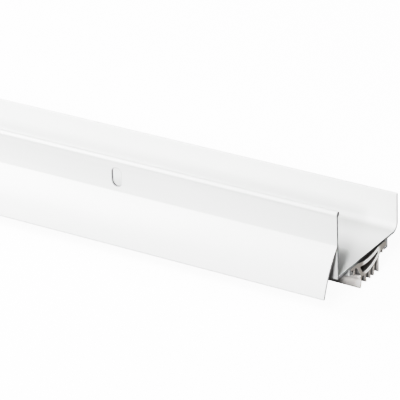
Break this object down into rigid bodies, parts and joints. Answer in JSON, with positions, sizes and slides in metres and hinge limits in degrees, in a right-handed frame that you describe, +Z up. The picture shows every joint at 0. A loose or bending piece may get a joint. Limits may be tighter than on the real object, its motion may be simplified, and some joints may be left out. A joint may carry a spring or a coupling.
{
  "type": "door sweep",
  "caption": "U-shaped under-door sweep: painted aluminium channel with a curved drip cap and slotted front leg, and a slide-in vinyl insert with hanging fins.",
  "frame": {"origin": "centre of the channel floor's upper face, where the door's bottom edge rests", "axes": "+X along the sweep, +Y from the weather side with the drip cap to the room side, +Z up"},
  "size_m": [0.9144, 0.0592, 0.04],
  "materials": {
    "white_paint": "satin",
    "stiff_vinyl": "satin",
    "soft_vinyl": "matte"
  },
  "bodies": {
    "channel": {"u_channel": "white_paint"},
    "insert": {"insert_base": "stiff_vinyl"},
    "fin_1": {"fin_1": "soft_vinyl"},
    "fin_2": {"fin_2": "soft_vinyl"},
    "fin_3": {"fin_3": "soft_vinyl"},
    "fin_4": {"fin_4": "soft_vinyl"},
    "fin_5": {"fin_5": "soft_vinyl"}
  },
  "joints": [
    {"name": "insert_slide", "type": "slide", "parent": "channel", "child": "insert", "axis": [1, 0, 0], "range_m": [0, 0.93]},
    {"name": "fin_1_bend", "type": "hinge", "parent": "insert", "child": "fin_1", "pos_m": [0, -0.00553, -0.00907], "axis": [1, 0, 0], "range_deg": [-30, 30], "stiffness_Nm_per_rad": 0.05},
    {"name": "fin_2_bend", "type": "hinge", "parent": "insert", "child": "fin_2", "pos_m": [0, -0.00213, -0.00928], "axis": [1, 0, 0], "range_deg": [-30, 30], "stiffness_Nm_per_rad": 0.05},
    {"name": "fin_3_bend", "type": "hinge", "parent": "insert", "child": "fin_3", "pos_m": [0, 0.00128, -0.00894], "axis": [1, 0, 0], "range_deg": [-30, 30], "stiffness_Nm_per_rad": 0.05},
    {"name": "fin_4_bend", "type": "hinge", "parent": "insert", "child": "fin_4", "pos_m": [0, 0.00468, -0.00801], "axis": [1, 0, 0], "range_deg": [-30, 30], "stiffness_Nm_per_rad": 0.05},
    {"name": "fin_5_bend", "type": "hinge", "parent": "insert", "child": "fin_5", "pos_m": [0, 0.00808, -0.00641], "axis": [1, 0, 0], "range_deg": [-30, 30], "stiffness_Nm_per_rad": 0.05}
  ],
  "couplings": [
    {"joint": "fin_2_bend", "follows": "fin_1_bend", "ratio": 1},
    {"joint": "fin_3_bend", "follows": "fin_1_bend", "ratio": 1},
    {"joint": "fin_4_bend", "follows": "fin_1_bend", "ratio": 1},
    {"joint": "fin_5_bend", "follows": "fin_1_bend", "ratio": 1}
  ]
}
